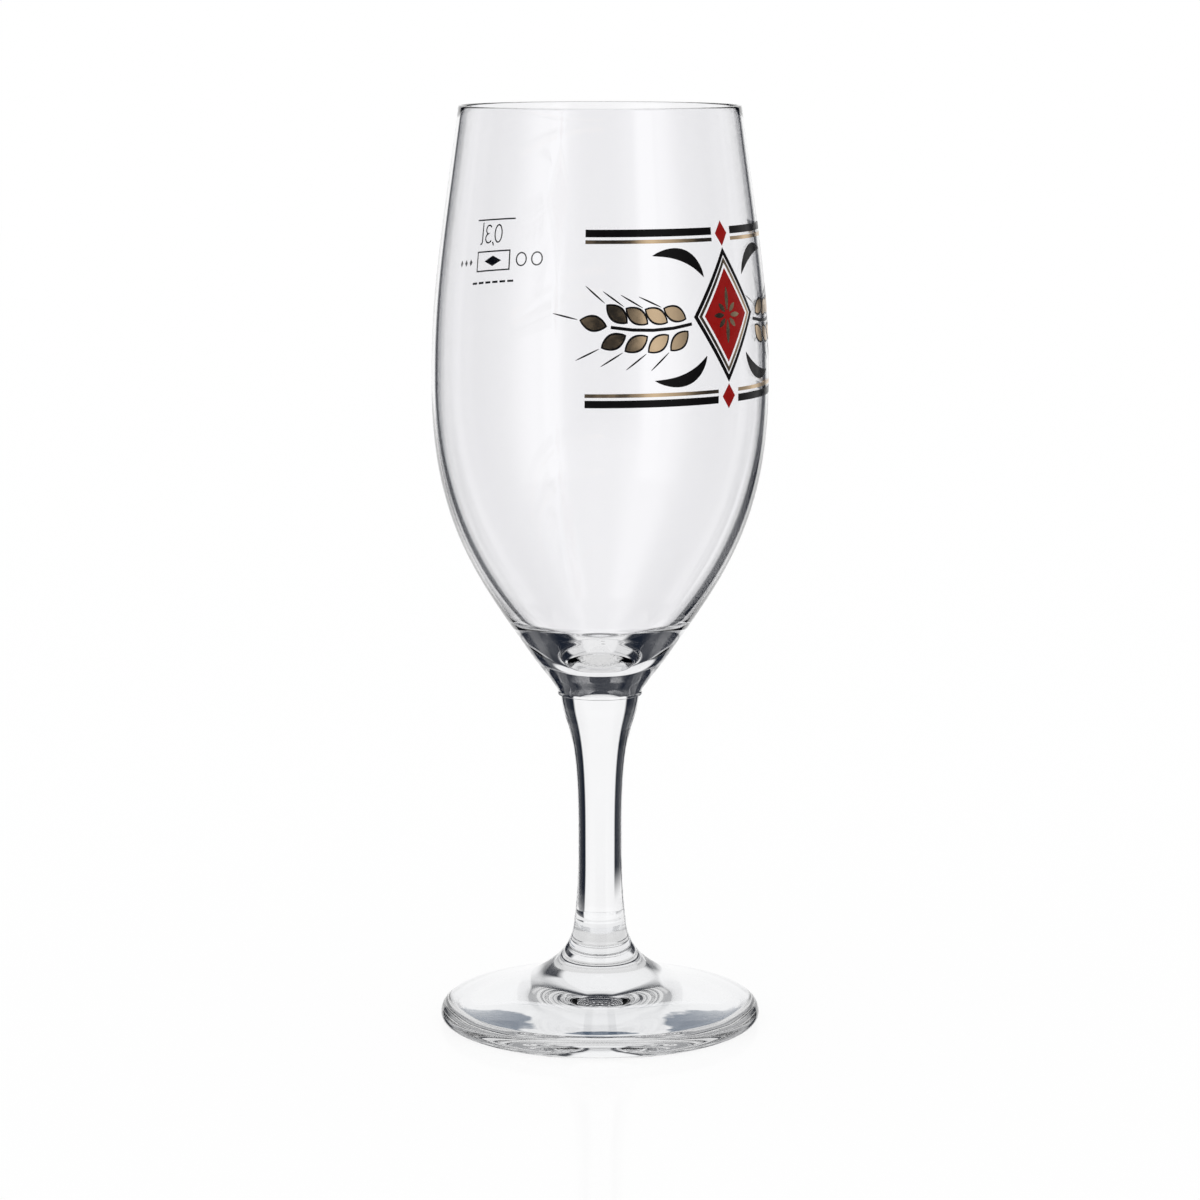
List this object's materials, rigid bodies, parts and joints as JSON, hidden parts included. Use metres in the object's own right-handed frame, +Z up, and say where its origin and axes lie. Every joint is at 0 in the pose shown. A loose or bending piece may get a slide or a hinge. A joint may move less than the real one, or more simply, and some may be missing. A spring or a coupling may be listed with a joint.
{
  "type": "beer goblet",
  "caption": "Stemmed goblet of clear glass with a tall tulip bowl, a slim drawn-in stem and a round swept foot, for serving beer.",
  "frame": {"origin": "centre of the rest ring under the foot, on the surface that the goblet stands on", "axes": "+Z up along the axis of revolution; -Y is the side with the printed band on its right and the fill line behind"},
  "size_m": [0.0746, 0.0746, 0.206],
  "materials": {
    "clear_glass": "gloss",
    "black_print": "gloss",
    "gold_print": "satin",
    "red_print": "gloss"
  },
  "bodies": {
    "root": {"bowl": "clear_glass", "stem": "clear_glass", "foot": "clear_glass"}
  },
  "joints": []
}
